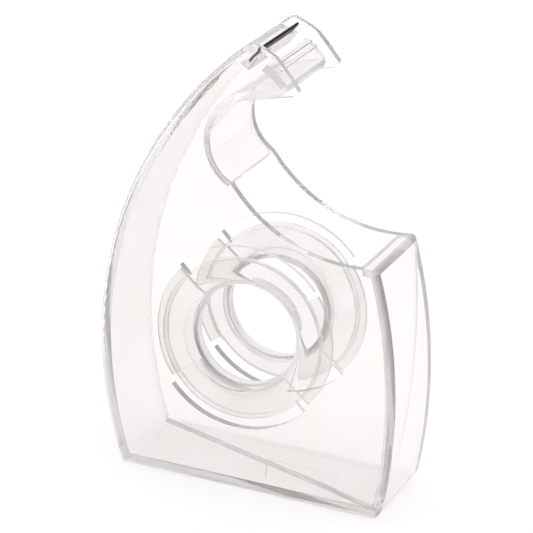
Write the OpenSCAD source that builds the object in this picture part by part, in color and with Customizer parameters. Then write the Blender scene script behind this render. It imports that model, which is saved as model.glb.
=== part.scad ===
// Hand tape dispenser: two clear bonded shells, two quarter-turn hubs and a toothed steel strip.
// Frame: base on Z = 0, mouth side towards +X, near side towards -Y, everything centred on X = Y = 0.

/* [Body] */
// Width over both side walls
body_width = 25.4; // [22:0.1:30]
// Thickness of the side walls
wall = 1.8; // [1.2:0.1:2.6]
// Thickness of floor, back and front
rim_wall = 2.2; // [1.4:0.1:3]
// Rounding of the outer edges
edge_round = 1.6; // [0.4:0.1:2.2]
// Rounding of the corners at the floor
foot_round = 3.5; // [1:0.1:6]
// Height of the hub axis above the floor plane
hub_height = 34; // [30:0.5:40]
// Hub axis forward of the middle of the part
hub_x = -1.15; // [-4:0.05:4]

/* [Back] */
// Reach of the back behind the hub axis
back_reach = 32.1; // [28:0.1:36]
// Height at which the back is upright
back_turn = 33.5; // [20:0.5:40]
// Radius of the curved back
back_radius = 85; // [70:0.5:110]

/* [Front] */
// Reach of the front ahead of the hub axis
front_reach = 34.4; // [30:0.1:38]
// Height at which the front is upright
front_turn = 17.5; // [10:0.5:30]
// Radius of the bowed front
front_radius = 110; // [80:1:160]
// Depth of the lip on top of the front
lip_depth = 3.8; // [2.4:0.1:6]
// Height of that lip
lip_height = 2.2; // [1.4:0.1:4]

/* [Mouth] */
// Radius of the scooped top edge
mouth_radius = 33.8; // [28:0.1:40]
// Scoop centre ahead of the hub axis
mouth_x = 21.5; // [16:0.1:28]
// Scoop centre above the hub axis
mouth_z = 54; // [48:0.1:60]
// Radius of the finger rest
saddle_radius = 9.6; // [7:0.1:12]
// Finger rest centre ahead of the hub axis
saddle_x = -0.8; // [-4:0.1:3]
// Finger rest centre above the hub axis
saddle_z = 41.8; // [38:0.1:46]
// Thickness of the finger rest wall
saddle_wall = 1.6; // [1.2:0.1:2.4]

/* [Head] */
// Radius of the rounded nose
nose_radius = 20.4; // [16:0.1:25]
// Rounding of the outer edges along the nose
nose_edge = 0.9; // [0.4:0.1:1.4]
// Nose centre ahead of the hub axis
nose_x = -8; // [-12:0.1:-4]
// Nose centre above the hub axis
nose_z = 43.5; // [40:0.1:48]
// Slope of the underside of the head
jaw_angle = 14.5; // [5:0.5:25]
// Tape table set back behind the cheeks
table_inset = 2.6; // [0.8:0.1:4]
// Rounding of the chin under the tape table
chin_round = 2; // [1:0.1:3]
// Radius of the two ribs on the tape table
rib_radius = 0.4; // [0.2:0.05:0.8]
// Angle of the lower rib round the nose centre
rib_low = 53.3; // [45:0.1:55]
// Angle of the upper rib round the nose centre
rib_high = 57.9; // [56:0.1:62]

/* [Cutter] */
// Slope of the cutter strip
blade_angle = 55; // [45:1:65]
// Thickness of the strip
blade_thick = 0.5; // [0.3:0.05:0.8]
// Length of the strip over the teeth
blade_length = 4.4; // [3:0.1:6]
// Plastic in front of the slot that grips the strip
slot_lip = 0.9; // [0.6:0.05:1.2]
// Teeth along the edge
tooth_count = 16; // [10:1:24]
// Distance between teeth
tooth_pitch = 1.25; // [0.8:0.05:1.8]
// Depth of the teeth
tooth_depth = 1.1; // [0.6:0.05:1.6]
// Width of the tape slot under the strip
slot_gap = 1.9; // [1.2:0.1:3]

/* [Hubs] */
// Radius of the hub flange
flange_radius = 17.6; // [15:0.1:19]
// Thickness of the hub flange
flange_thick = 0.8; // [0.5:0.05:1.1]
// Radius of the bearing below the flange
bearing_radius = 16.85; // [14:0.05:17.5]
// Outer radius of the wall windows
window_radius = 20; // [18:0.1:22]
// Half angle of each wall window
window_half = 48; // [40:1:62]
// Half angle of each locking lug
lug_half = 38; // [30:1:55]
// Thickness of the locking lugs
lug_thick = 1; // [0.6:0.05:1.4]
// Outer radius of the locking lugs
lug_radius = 19.4; // [18:0.1:19.8]
// Radius of the through hole
bore_radius = 11; // [9:0.1:12]
// Outer radius of the core seat
boss_radius = 12.45; // [11.5:0.05:12.6]
// Rounding of the mouth of the through hole
bell_round = 3.3; // [1:0.1:4]
// Depth of the hub from the outer face
hub_depth = 5; // [3.5:0.1:8]

/* [Panel] */
// Length of the blank panel
panel_length = 16; // [8:0.5:24]
// Height of the blank panel
panel_height = 4.5; // [2:0.5:8]
// Depth of the blank panel
panel_depth = 0.4; // [0.2:0.05:0.8]
// Middle of the panel ahead of the hub axis
panel_x = 15.6; // [0:0.1:20]
// Middle of the panel below the hub axis
panel_drop = 27.8; // [24:0.1:29]

/* [Hidden] */
$fn = 96;
half = body_width / 2;
inner = half - wall;
run_gap = 0.05;
bond_gap = 0.04;
slot_slack = 0.03;
edge_lift = 0.04;
corner_lift = 0.03;
seat_depth = flange_thick + run_gap;
table_wall = 1.8;
block_heel = 1.2;
blade_width = tooth_count * tooth_pitch;
far = 140;

// Outline centres, in X and Z from the hub axis
base_z = -hub_height;
back_x = -back_reach;
back_c = [back_x + back_radius, back_turn - hub_height];
front_c = [front_reach - front_radius, front_turn - hub_height];
nose_c = [nose_x, nose_z];
mouth_c = [mouth_x, mouth_z];
saddle_c = [saddle_x, saddle_z];
jaw_e = [cos(jaw_angle), sin(jaw_angle)];
jaw_n = [-sin(jaw_angle), cos(jaw_angle)];
jaw_p = saddle_c + saddle_radius * jaw_n;
neck_z = nose_z + 4.5;

// Where two circles cross, on the chosen side of the line between their centres
function meet(a, ra, b, rb, side) =
    let (d = norm(b - a), u = (b - a) / d, k = (d * d + ra * ra - rb * rb) / (2 * d))
    a + k * u + side * sqrt(ra * ra - k * k) * [-u[1], u[0]];

// Where a line from p along e leaves a circle
function leave(p, e, c, r) =
    let (q = p - c, s = q * e)
    p + (-s + sqrt(s * s - q * q + r * r)) * e;

function toward(a, b, r) = a + r * (b - a) / norm(b - a);

// Saddle end, split plane and blade line
saddle_end = meet(saddle_c, saddle_radius, mouth_c, mouth_radius, -1);
split_x0 = back_x + 4.7;
split_x1 = front_reach - 1;
split_top = 53.4;
split_gx = -2 * inner / (split_x1 - split_x0);
split_gz = (2 * inner + split_gx * 5) / split_top;
split_len = sqrt(split_gx * split_gx + 1 + split_gz * split_gz);
blade_e = [cos(blade_angle), sin(blade_angle)];
blade_n = [sin(blade_angle), -cos(blade_angle)];
blade_tip = leave([-3.4, 57], blade_e, nose_c, nose_radius - 0.5);
blade_back = blade_tip - blade_length * blade_e;
blade_in = slot_lip + slot_slack + blade_thick;

// Draws an outline in the X-Z plane between two Y positions, with the hub axis as its zero
module slab(y0, y1) {
    translate([hub_x, y1, hub_height])
        rotate([90, 0, 0])
            linear_extrude(y1 - y0)
                children();
}

module disc(c, r, n = 180) {
    translate(c)
        circle(r, $fn = n);
}

// Material outside a rounding circle, between its two touching points. The circle stands a little
// towards the corner, so that it crosses both edges cleanly.
module corner_trim(c, a, b, r) {
    m = c + corner_lift / r * (a - c + b - c);
    difference() {
        polygon([m, m + 2.4 * (a - c), m + 2.6 * (a - c) + 2.6 * (b - c), m + 2.4 * (b - c)]);
        disc(m, r, 48);
    }
}

module foot_trims() {
    p = [0, base_z + foot_round];
    rear = leave(p, [-1, 0], back_c, back_radius - foot_round);
    corner_trim(rear, rear - [0, foot_round], toward(back_c, rear, back_radius), foot_round);
    fore = leave(p, [1, 0], front_c, front_radius - foot_round);
    corner_trim(fore, fore - [0, foot_round], toward(front_c, fore, front_radius), foot_round);
}

// Corner between the underside of the head and a nose circle of radius r
module chin_trim(r) {
    chin = leave(jaw_p + chin_round * jaw_n, jaw_e, nose_c, r - chin_round);
    corner_trim(chin, chin - chin_round * jaw_n, toward(nose_c, chin, r), chin_round);
}

module head_trims() {
    tip_r = 2.4;
    tip = meet(back_c, back_radius - tip_r, nose_c, nose_radius - tip_r, -1);
    corner_trim(tip, toward(back_c, tip, back_radius), toward(nose_c, tip, nose_radius), tip_r);
    chin_trim(nose_radius);
    lip_r = 1.6;
    lip = meet(front_c, front_radius - lip_r, mouth_c, mouth_radius + lip_r, -1);
    corner_trim(lip, toward(front_c, lip, front_radius), toward(mouth_c, lip, mouth_radius), lip_r);
}

// Finger gap and scooped mouth
module mouth_cut() {
    disc(saddle_c, saddle_radius);
    intersection() {
        disc(mouth_c, mouth_radius);
        polygon([saddle_c, jaw_p, jaw_p + far * jaw_e, [far, base_z], saddle_c + far * [-0.85, -0.52]]);
    }
    polygon([mouth_c, jaw_p + 20 * jaw_e, jaw_p + far * jaw_e, [far, mouth_z - 20],
        [mouth_x + 20, mouth_z - 20]]);
}

// Everything in front of the nose circle at the given radius
module nose_cut(r) {
    difference() {
        translate([-far / 2, neck_z])
            square([far, far]);
        disc(nose_c, r);
    }
}

module outline() {
    difference() {
        intersection() {
            disc(back_c, back_radius);
            disc(front_c, front_radius);
            translate([-far, base_z])
                square([2 * far, far]);
        }
        mouth_cut();
        nose_cut(nose_radius);
        foot_trims();
        head_trims();
    }
}

// Finger rest, underside of the head and tape table
module beak() {
    table_r = nose_radius - table_inset;
    end_u = (saddle_end - saddle_c) / norm(saddle_end - saddle_c);
    intersection() {
        disc(saddle_c, saddle_radius + saddle_wall);
        polygon([saddle_c, saddle_c + 30 * end_u, [-40, 30], [-40, 70], [20, 70],
            saddle_c + 30 * jaw_n + 3 * jaw_e]);
    }
    polygon([jaw_p, jaw_p + 30 * jaw_e, jaw_p + 30 * jaw_e + saddle_wall * jaw_n, jaw_p + saddle_wall * jaw_n]);
    difference() {
        disc(nose_c, table_r);
        disc(nose_c, table_r - table_wall);
        polygon([blade_tip + slot_gap * blade_n + 9 * blade_e, blade_tip + slot_gap * blade_n - 40 * blade_e,
            [-60, 30], [-60, 80]]);
        polygon([saddle_c - 60 * jaw_e, jaw_p - 60 * jaw_e, jaw_p + 60 * jaw_e, jaw_p + 60 * jaw_e - 60 * jaw_n,
            saddle_c - 60 * jaw_e - 60 * jaw_n]);
    }
    ribs();
}

module ribs() {
    for (a = [rib_high, rib_low])
        disc(nose_c + (nose_radius - table_inset - 0.1) * [cos(a), sin(a)], rib_radius, 24);
}

// Thick end of the back, which grips the strip
module tip_block() {
    heel = blade_back - block_heel * blade_e;
    polygon([blade_tip + 6 * blade_e, heel, heel - 30 * blade_n, blade_tip + 6 * blade_e - 30 * blade_n]);
}

// Slot for the strip, open at the nose
module strip_slot() {
    open_end = blade_tip + 6 * blade_e;
    closed_end = blade_back - slot_slack * blade_e;
    behind = (blade_in + slot_slack) * blade_n;
    ahead = slot_lip * blade_n;
    polygon([open_end - ahead, open_end - behind, closed_end - behind, closed_end - ahead]);
}

module cavity() {
    difference() {
        intersection() {
            disc(back_c, back_radius - rim_wall);
            disc(front_c, front_radius - rim_wall);
            translate([-far, base_z + rim_wall])
                square([2 * far, far]);
        }
        beak();
        tip_block();
        difference() {
            translate([0, lip_floor()])
                square([40, 10]);
            disc(front_c, front_radius - lip_depth);
        }
    }
}

function lip_floor() = mouth_z - mouth_radius + 0.6 - lip_height;

// Rim of the box between the side walls
module frame_shape() {
    difference() {
        outline();
        nose_cut(nose_radius - table_inset);
        chin_trim(nose_radius - table_inset);
        strip_slot();
        cavity();
    }
    ribs();
}

// Waste outside an edge rounded by e along an arc about c, from angle a0 to a1, on side -1 or 1
module edge_ring(side, c, r, e, a0, a1) {
    translate([hub_x + c[0], side * half, hub_height + c[1]])
        rotate([side * 90, 0, 0])
            rotate([0, 0, side < 0 ? -a1 : a0])
                rotate_extrude(angle = a1 - a0, $fn = 180)
                    difference() {
                        translate([r - e, -1])
                            square([e + 1, e + 1]);
                        translate([r - e + edge_lift, e - edge_lift])
                            circle(e, $fn = 32);
                    }
}

// Waste outside the rounded edge along the floor
module edge_floor(side) {
    rotate([90, 0, 90])
        translate([side * (half - edge_round + edge_lift), edge_round - edge_lift, -far / 2])
            linear_extrude(far)
                difference() {
                    translate([side < 0 ? -edge_round - 1 : 0, -edge_round - 1])
                        square(edge_round + 1);
                    circle(edge_round, $fn = 32);
                }
}

// Space on the far side (1) or near side (-1) of the split plane, less half of the bond line
module split_space(side) {
    translate([hub_x + split_x0, inner, 0])
        rotate([-asin(split_gz / split_len), 0, atan(split_gx)])
            translate([-far, side < 0 ? bond_gap / 2 - far : -bond_gap / 2, -far])
                cube([2 * far, far, 2 * far]);
}

// Side wall with its bearing hole, flange seat and two windows: -1 is near, 1 is far
module side_wall(side) {
    difference() {
        difference() {
            difference() {
                difference() {
                    difference() {
                        slab(side < 0 ? -half : inner, side < 0 ? -inner : half)
                            outline();
                        edge_ring(side, back_c, back_radius, edge_round, 118, 206);
                    }
                    edge_ring(side, front_c, front_radius, edge_round, -14, 24);
                }
                edge_ring(side, nose_c, nose_radius, nose_edge, 15, 82);
            }
            edge_floor(side);
        }
        slab(-half - 2, half + 2)
            disc([0, 0], bearing_radius + run_gap, 120);
        slab(side < 0 ? -half - 2 : half - seat_depth, side < 0 ? -half + seat_depth : half + 2)
            disc([0, 0], flange_radius + run_gap, 120);
        slab(-half - 2, half + 2)
            intersection() {
                disc([0, 0], window_radius, 120);
                union()
                    for (s = [1, -1])
                        polygon([[0, 0], s * 40 * [sin(window_half), cos(window_half)], [0, s * 60],
                            s * 40 * [-sin(window_half), cos(window_half)]]);
            }
    }
}

module near_shell() {
    color([0.93, 0.92, 0.91, 0.35])
        union() {
            difference() {
                side_wall(-1);
                translate([hub_x + 15.6 - panel_length / 2, -half - 1, hub_height - 27.8 - panel_height / 2])
                    cube([panel_length, panel_depth + 1, panel_height]);
            }
            difference() {
                slab(-inner, inner - bond_gap)
                    frame_shape();
                split_space(1);
            }
        }
}

module far_shell() {
    color([0.92, 0.92, 0.92, 0.35])
        union() {
            side_wall(1);
            difference() {
                slab(bond_gap - inner, inner)
                    frame_shape();
                split_space(-1);
            }
        }
}

// Hub seen from outside at Z = 0, with its depth along +Z
module hub_body() {
    rotate_extrude($fn = 120)
        difference() {
            union() {
                square([flange_radius, flange_thick]);
                square([bearing_radius, wall + run_gap]);
                square([boss_radius, hub_depth]);
            }
            translate([-1, -1])
                square([bore_radius + 1, hub_depth + 2]);
            difference() {
                translate([0, -1])
                    square([bore_radius + bell_round, bell_round + 1]);
                translate([bore_radius + bell_round, bell_round])
                    circle(bell_round, $fn = 64);
            }
        }
    for (s = [0, 180])
        rotate([0, 0, s])
            translate([0, 0, wall + run_gap])
                linear_extrude(lug_thick)
                    intersection() {
                        difference() {
                            circle(lug_radius, $fn = 120);
                            circle(boss_radius - 0.6, $fn = 120);
                        }
                        polygon([[0, 0], 40 * [cos(lug_half), sin(lug_half)], [60, 0],
                            40 * [cos(lug_half), -sin(lug_half)]]);
                    }
}

module near_hub() {
    color([0.95, 0.94, 0.93, 0.35])
        translate([hub_x, -half, hub_height])
            rotate([-90, 0, 0])
                hub_body();
}

module far_hub() {
    color([0.95, 0.94, 0.93, 0.35])
        translate([hub_x, half, hub_height])
            rotate([90, 0, 0])
                hub_body();
}

function tooth_line() = [for (i = [0 : 2 * tooth_count])
    [(i - tooth_count) * tooth_pitch / 2, i % 2 == 0 ? -tooth_depth : 0]];

module cutter_blade() {
    color([0.34, 0.34, 0.35])
        translate([hub_x + blade_tip[0], 0, hub_height + blade_tip[1]])
            rotate([0, 90 - blade_angle, 0])
                translate([-blade_in, 0, 0])
                    rotate([90, 0, 90])
                        linear_extrude(blade_thick)
                            polygon(concat([[-blade_width / 2, -blade_length]], tooth_line(),
                                [[blade_width / 2, -blade_length]]));
}

near_shell();
far_shell();
near_hub();
far_hub();
cutter_blade();
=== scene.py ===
import math

import bpy
from mathutils import Matrix, Vector

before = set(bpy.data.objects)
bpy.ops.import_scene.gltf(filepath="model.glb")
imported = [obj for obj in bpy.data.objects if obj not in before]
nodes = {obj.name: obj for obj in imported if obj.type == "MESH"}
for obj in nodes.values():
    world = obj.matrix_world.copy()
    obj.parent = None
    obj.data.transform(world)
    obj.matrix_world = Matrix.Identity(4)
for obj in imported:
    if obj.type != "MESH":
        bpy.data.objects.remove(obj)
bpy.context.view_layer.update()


# Near and far shells: clear general-purpose polystyrene, injection moulded and bonded edge to
# edge. The material is nearly colourless, so flat walls all but vanish, while walls and rims
# seen at a slant gather a pale warm grey haze.
SHELL_TINTS = ("FEFDFD", "FDFBFA")
SHELL_HAZE = 0.015
SHELL_SLANT_HAZE = 0.3
# share of the slant at which the haze starts and at which it is full
SLANT_RANGE = (0.2, 0.75)

# polystyrene is 1.59; a little less keeps the flat walls as clear as the real ones
STYRENE_IOR = 1.5
# roughness of the moulded gloss, and of the worst scuff in it
STYRENE_GLOSS = (0.02, 0.12)

# flow lines left by the melt: millimetres apart, with a height of 0.4 mm that is mostly held back
FLOW_PITCH = 9.0
FLOW_SPREAD = (0.3, 0.7)
FLOW_STRENGTH = 0.05
FLOW_HEIGHT = 0.0004

# handling scuffs: 0.4 mm wide and about 2 mm long, drawn coarser than real ones so that they show
SCUFF_PITCH = 0.4
SCUFF_STRETCH = 0.18
SCUFF_SPREAD = (0.56, 0.78)
NEAR_SCUFF_TURN = 0.4
FAR_SCUFF_TURN = 1.1


def lin(code, alpha=1.0):
    """sRGB hex to the linear colour that Blender wants."""
    out = []
    for k in (0, 2, 4):
        c = int(code[k:k + 2], 16) / 255
        out.append(c / 12.92 if c <= 0.04045 else ((c + 0.055) / 1.055) ** 2.4)
    return (*out, alpha)


def per_mm(pitch):
    """Noise scale whose cells are about this many millimetres apart."""
    return 1000.0 / pitch


def add(mat, kind, links=None, **values):
    """A shader node with its settings, its input values and what feeds its inputs."""
    node = mat.node_tree.nodes.new(kind)
    for name, value in values.items():
        spaced = name.replace("_", " ")
        if spaced in node.inputs:
            node.inputs[spaced].default_value = value
        else:
            setattr(node, name, value)
    for name, source in (links or {}).items():
        mat.node_tree.links.new(source, node.inputs[name])
    return node


def ramp(mat, source, low, high):
    """Colour ramp between two (position, colour) ends."""
    node = add(mat, "ShaderNodeValToRGB", {"Fac": source})
    for element, (position, colour) in zip(node.color_ramp.elements, (low, high)):
        element.position = position
        element.color = colour
    return node.outputs["Color"]


def clear_styrene(name, tints, haze, slant_haze, scuff_turn):
    """Clear moulded polystyrene, a water-clear gloss: flow lines, fine scuffs and slant haze."""
    mat = bpy.data.materials.new(name)
    mat.use_nodes = True
    bsdf = mat.node_tree.nodes["Principled BSDF"]
    link = mat.node_tree.links.new
    bsdf.inputs["IOR"].default_value = STYRENE_IOR
    place = add(mat, "ShaderNodeTexCoord").outputs["Object"]

    flow = add(mat, "ShaderNodeTexNoise", {"Vector": place}, Scale=per_mm(FLOW_PITCH), Detail=2.0,
               Roughness=0.4).outputs["Fac"]
    tint = ramp(mat, flow, (FLOW_SPREAD[0], lin(tints[0])), (FLOW_SPREAD[1], lin(tints[1])))
    link(tint, bsdf.inputs["Base Color"])

    turned = add(mat, "ShaderNodeMapping", {"Vector": place}, Rotation=(0.0, scuff_turn, 0.0),
                 Scale=(1.0, 1.0, SCUFF_STRETCH)).outputs["Vector"]
    scuff = add(mat, "ShaderNodeTexNoise", {"Vector": turned}, Scale=per_mm(SCUFF_PITCH), Detail=3.0,
                Roughness=0.6).outputs["Fac"]
    gloss = add(mat, "ShaderNodeMapRange", {"Value": scuff},
                From_Min=SCUFF_SPREAD[0], From_Max=SCUFF_SPREAD[1],
                To_Min=STYRENE_GLOSS[0], To_Max=STYRENE_GLOSS[1]).outputs["Result"]
    link(gloss, bsdf.inputs["Roughness"])

    # haze: a little everywhere, more where the wall is seen at a slant
    slant = add(mat, "ShaderNodeLayerWeight", Blend=0.5).outputs["Facing"]
    clear = add(mat, "ShaderNodeMapRange", {"Value": slant},
                From_Min=SLANT_RANGE[0], From_Max=SLANT_RANGE[1],
                To_Min=1.0 - haze, To_Max=1.0 - slant_haze).outputs["Result"]
    link(clear, bsdf.inputs["Transmission Weight"])

    wave = add(mat, "ShaderNodeBump", {"Height": flow}, Strength=FLOW_STRENGTH, Distance=FLOW_HEIGHT)
    link(wave.outputs["Normal"], bsdf.inputs["Normal"])
    return mat


def finish_node(node, mat):
    """Give one piece its material, in place of the one it was loaded with."""
    nodes[node].data.materials.clear()
    nodes[node].data.materials.append(mat)


for shell, scuff_turn in (("near_shell", NEAR_SCUFF_TURN), ("far_shell", FAR_SCUFF_TURN)):
    finish_node(shell, clear_styrene("clear_styrene_" + shell, SHELL_TINTS, SHELL_HAZE,
                                     SHELL_SLANT_HAZE, scuff_turn))


# Ring hubs: a second moulding in the same polystyrene, dished and rounded at the mouth. Its
# curved mouth and stub are seen at a slant all round, which draws the pale grey rings.
# The hub tints are greyer than the shells' though the plastic is the same. This is painted shade over
# the whole hub, standing in for the shading of the dished bell, on top of the plastic's own faint
# tint.
HUB_TINTS_AND_PAINTED_SHADE = ("F6F5F4", "F1EFEE")
HUB_HAZE = 0.04
HUB_SLANT_HAZE = 0.8
HUB_SCUFF_TURN = 1.7

hub_styrene = clear_styrene("clear_styrene_hub", HUB_TINTS_AND_PAINTED_SHADE, HUB_HAZE, HUB_SLANT_HAZE, HUB_SCUFF_TURN)
finish_node("near_hub", hub_styrene)
finish_node("far_hub", hub_styrene)


# Cutter strip: thin spring steel, rolled, hardened dark and blanked with its teeth in one stroke.
# The rolling leaves fine marks along the strip and the hardening a dark, satin grey.
STEEL_TONES = ("18181A", "4A4A4D")
STEEL_SPREAD = (0.3, 0.75)
STEEL_GLOSS = (0.28, 0.5)

# rolling marks: 0.18 mm apart, coarser than real ones so that they show, and 25 times as long
ROLL_PITCH = 0.18
ROLL_STRETCH = 0.04
ROLL_STRENGTH = 0.2
ROLL_DEPTH = 0.00005


def hardened_steel():
    """Hardened spring steel: dark satin metal with fine marks along the strip."""
    mat = bpy.data.materials.new("hardened_spring_steel")
    mat.use_nodes = True
    bsdf = mat.node_tree.nodes["Principled BSDF"]
    link = mat.node_tree.links.new
    bsdf.inputs["Metallic"].default_value = 1.0
    place = add(mat, "ShaderNodeTexCoord").outputs["Object"]
    along = add(mat, "ShaderNodeMapping", {"Vector": place}, Scale=(1.0, ROLL_STRETCH, 1.0))
    rolled = add(mat, "ShaderNodeTexNoise", {"Vector": along.outputs["Vector"]},
                 Scale=per_mm(ROLL_PITCH), Detail=4.0, Roughness=0.65).outputs["Fac"]
    tone = ramp(mat, rolled, (STEEL_SPREAD[0], lin(STEEL_TONES[0])),
                (STEEL_SPREAD[1], lin(STEEL_TONES[1])))
    link(tone, bsdf.inputs["Base Color"])
    satin = add(mat, "ShaderNodeMapRange", {"Value": rolled},
                To_Min=STEEL_GLOSS[0], To_Max=STEEL_GLOSS[1])
    link(satin.outputs["Result"], bsdf.inputs["Roughness"])
    marks = add(mat, "ShaderNodeBump", {"Height": rolled}, Strength=ROLL_STRENGTH, Distance=ROLL_DEPTH)
    link(marks.outputs["Normal"], bsdf.inputs["Normal"])
    return mat


finish_node("cutter_blade", hardened_steel())


# Floor: a wide sheet of white card laid flat, 0.2 mm below the base. Card is matt and very
# slightly mottled by its fibres, so it gives the eye nothing but a soft shadow.
FLOOR_REACH = 3.0
FLOOR_DROP = 0.0002
CARD_TONES = ("FAFAFA", "FDFDFD")
CARD_ROUGHNESS = 0.9
CARD_PITCH = 16.0


def white_card():
    """White card, matt, with a mottle 16 mm across, coarser than real fibres so that it shows."""
    mat = bpy.data.materials.new("white_card")
    mat.use_nodes = True
    bsdf = mat.node_tree.nodes["Principled BSDF"]
    bsdf.inputs["Roughness"].default_value = CARD_ROUGHNESS
    place = add(mat, "ShaderNodeTexCoord").outputs["Object"]
    mottle = add(mat, "ShaderNodeTexNoise", {"Vector": place}, Scale=per_mm(CARD_PITCH), Detail=3.0)
    tone = ramp(mat, mottle.outputs["Fac"], (0.0, lin(CARD_TONES[0])), (1.0, lin(CARD_TONES[1])))
    mat.node_tree.links.new(tone, bsdf.inputs["Base Color"])
    return mat


def card_floor():
    """The flat sheet, with its card."""
    r = FLOOR_REACH
    mesh = bpy.data.meshes.new("floor")
    mesh.from_pydata([(-r, -r, 0), (r, -r, 0), (r, r, 0), (-r, r, 0)], [], [(0, 1, 2, 3)])
    floor = bpy.data.objects.new("floor", mesh)
    bpy.context.collection.objects.link(floor)
    floor.location = (0, 0, -FLOOR_DROP)
    floor.data.materials.append(white_card())


card_floor()


# Light: a pale grey room with one broad soft panel overhead, so the floor is the brightest thing
# and the upright walls stay a shade darker than it. Clear plastic traps light between its faces,
# so paths are followed for many bounces.
ROOM_TONE = (1.0, 0.985, 0.98, 1.0)
ROOM_GREY = 0.78
PANEL_SIZE = 2.4
PANEL_PLACE = (-0.1, 0.2, 1.4)
PANEL_WATTS = 13.0
LIGHT_BOUNCES = 32
HAZE_BOUNCES = 12


def studio_light():
    """Room, panel and the number of bounces that clear plastic needs."""
    scene = bpy.context.scene
    world = bpy.data.worlds.new("studio")
    scene.world = world
    world.use_nodes = True
    room = world.node_tree.nodes["Background"]
    room.inputs["Color"].default_value = ROOM_TONE
    room.inputs["Strength"].default_value = ROOM_GREY
    panel = bpy.data.lights.new("overhead_panel", "AREA")
    panel.size = PANEL_SIZE
    panel.energy = PANEL_WATTS
    panel.use_shadow = False
    lamp = bpy.data.objects.new("overhead_panel", panel)
    lamp.location = PANEL_PLACE
    lamp.rotation_euler = (-Vector(PANEL_PLACE)).to_track_quat("-Z", "Y").to_euler()
    bpy.context.collection.objects.link(lamp)
    scene.view_settings.view_transform = "Standard"
    scene.cycles.max_bounces = LIGHT_BOUNCES
    scene.cycles.transmission_bounces = LIGHT_BOUNCES
    scene.cycles.glossy_bounces = LIGHT_BOUNCES
    scene.cycles.diffuse_bounces = HAZE_BOUNCES


studio_light()


# Camera: a long lens that looks down on the near wall from the mouth side, rolled a few degrees.
# Angles are in degrees, the lens is in millimetres, and the distances are in metres.
VIEW_TURN, VIEW_RISE, VIEW_ROLL = (math.radians(v) for v in (19.73, 20.74, 4.52))
VIEW_LENS = 209.16
VIEW_DISTANCE = 0.66309
AIM_RIGHT, AIM_UP = 0.001938, 0.042969
NEAREST_SEEN = 0.01


def long_lens():
    """The camera, set from its turn, rise and roll about the point it aims at."""
    right = Vector((math.cos(VIEW_TURN), math.sin(VIEW_TURN), 0))
    up = Vector((-math.sin(VIEW_TURN) * math.sin(VIEW_RISE), math.cos(VIEW_TURN) * math.sin(VIEW_RISE),
                 math.cos(VIEW_RISE)))
    back = right.cross(up)
    rolled_right = math.cos(VIEW_ROLL) * right + math.sin(VIEW_ROLL) * up
    rolled_up = back.cross(rolled_right)
    data = bpy.data.cameras.new("camera")
    data.lens = VIEW_LENS
    data.clip_start = NEAREST_SEEN
    camera = bpy.data.objects.new("camera", data)
    bpy.context.collection.objects.link(camera)
    place = AIM_RIGHT * rolled_right + AIM_UP * rolled_up + VIEW_DISTANCE * back
    axes = Matrix((rolled_right, rolled_up, back)).transposed().to_4x4()
    camera.matrix_world = Matrix.Translation(place) @ axes
    bpy.context.scene.camera = camera


long_lens()
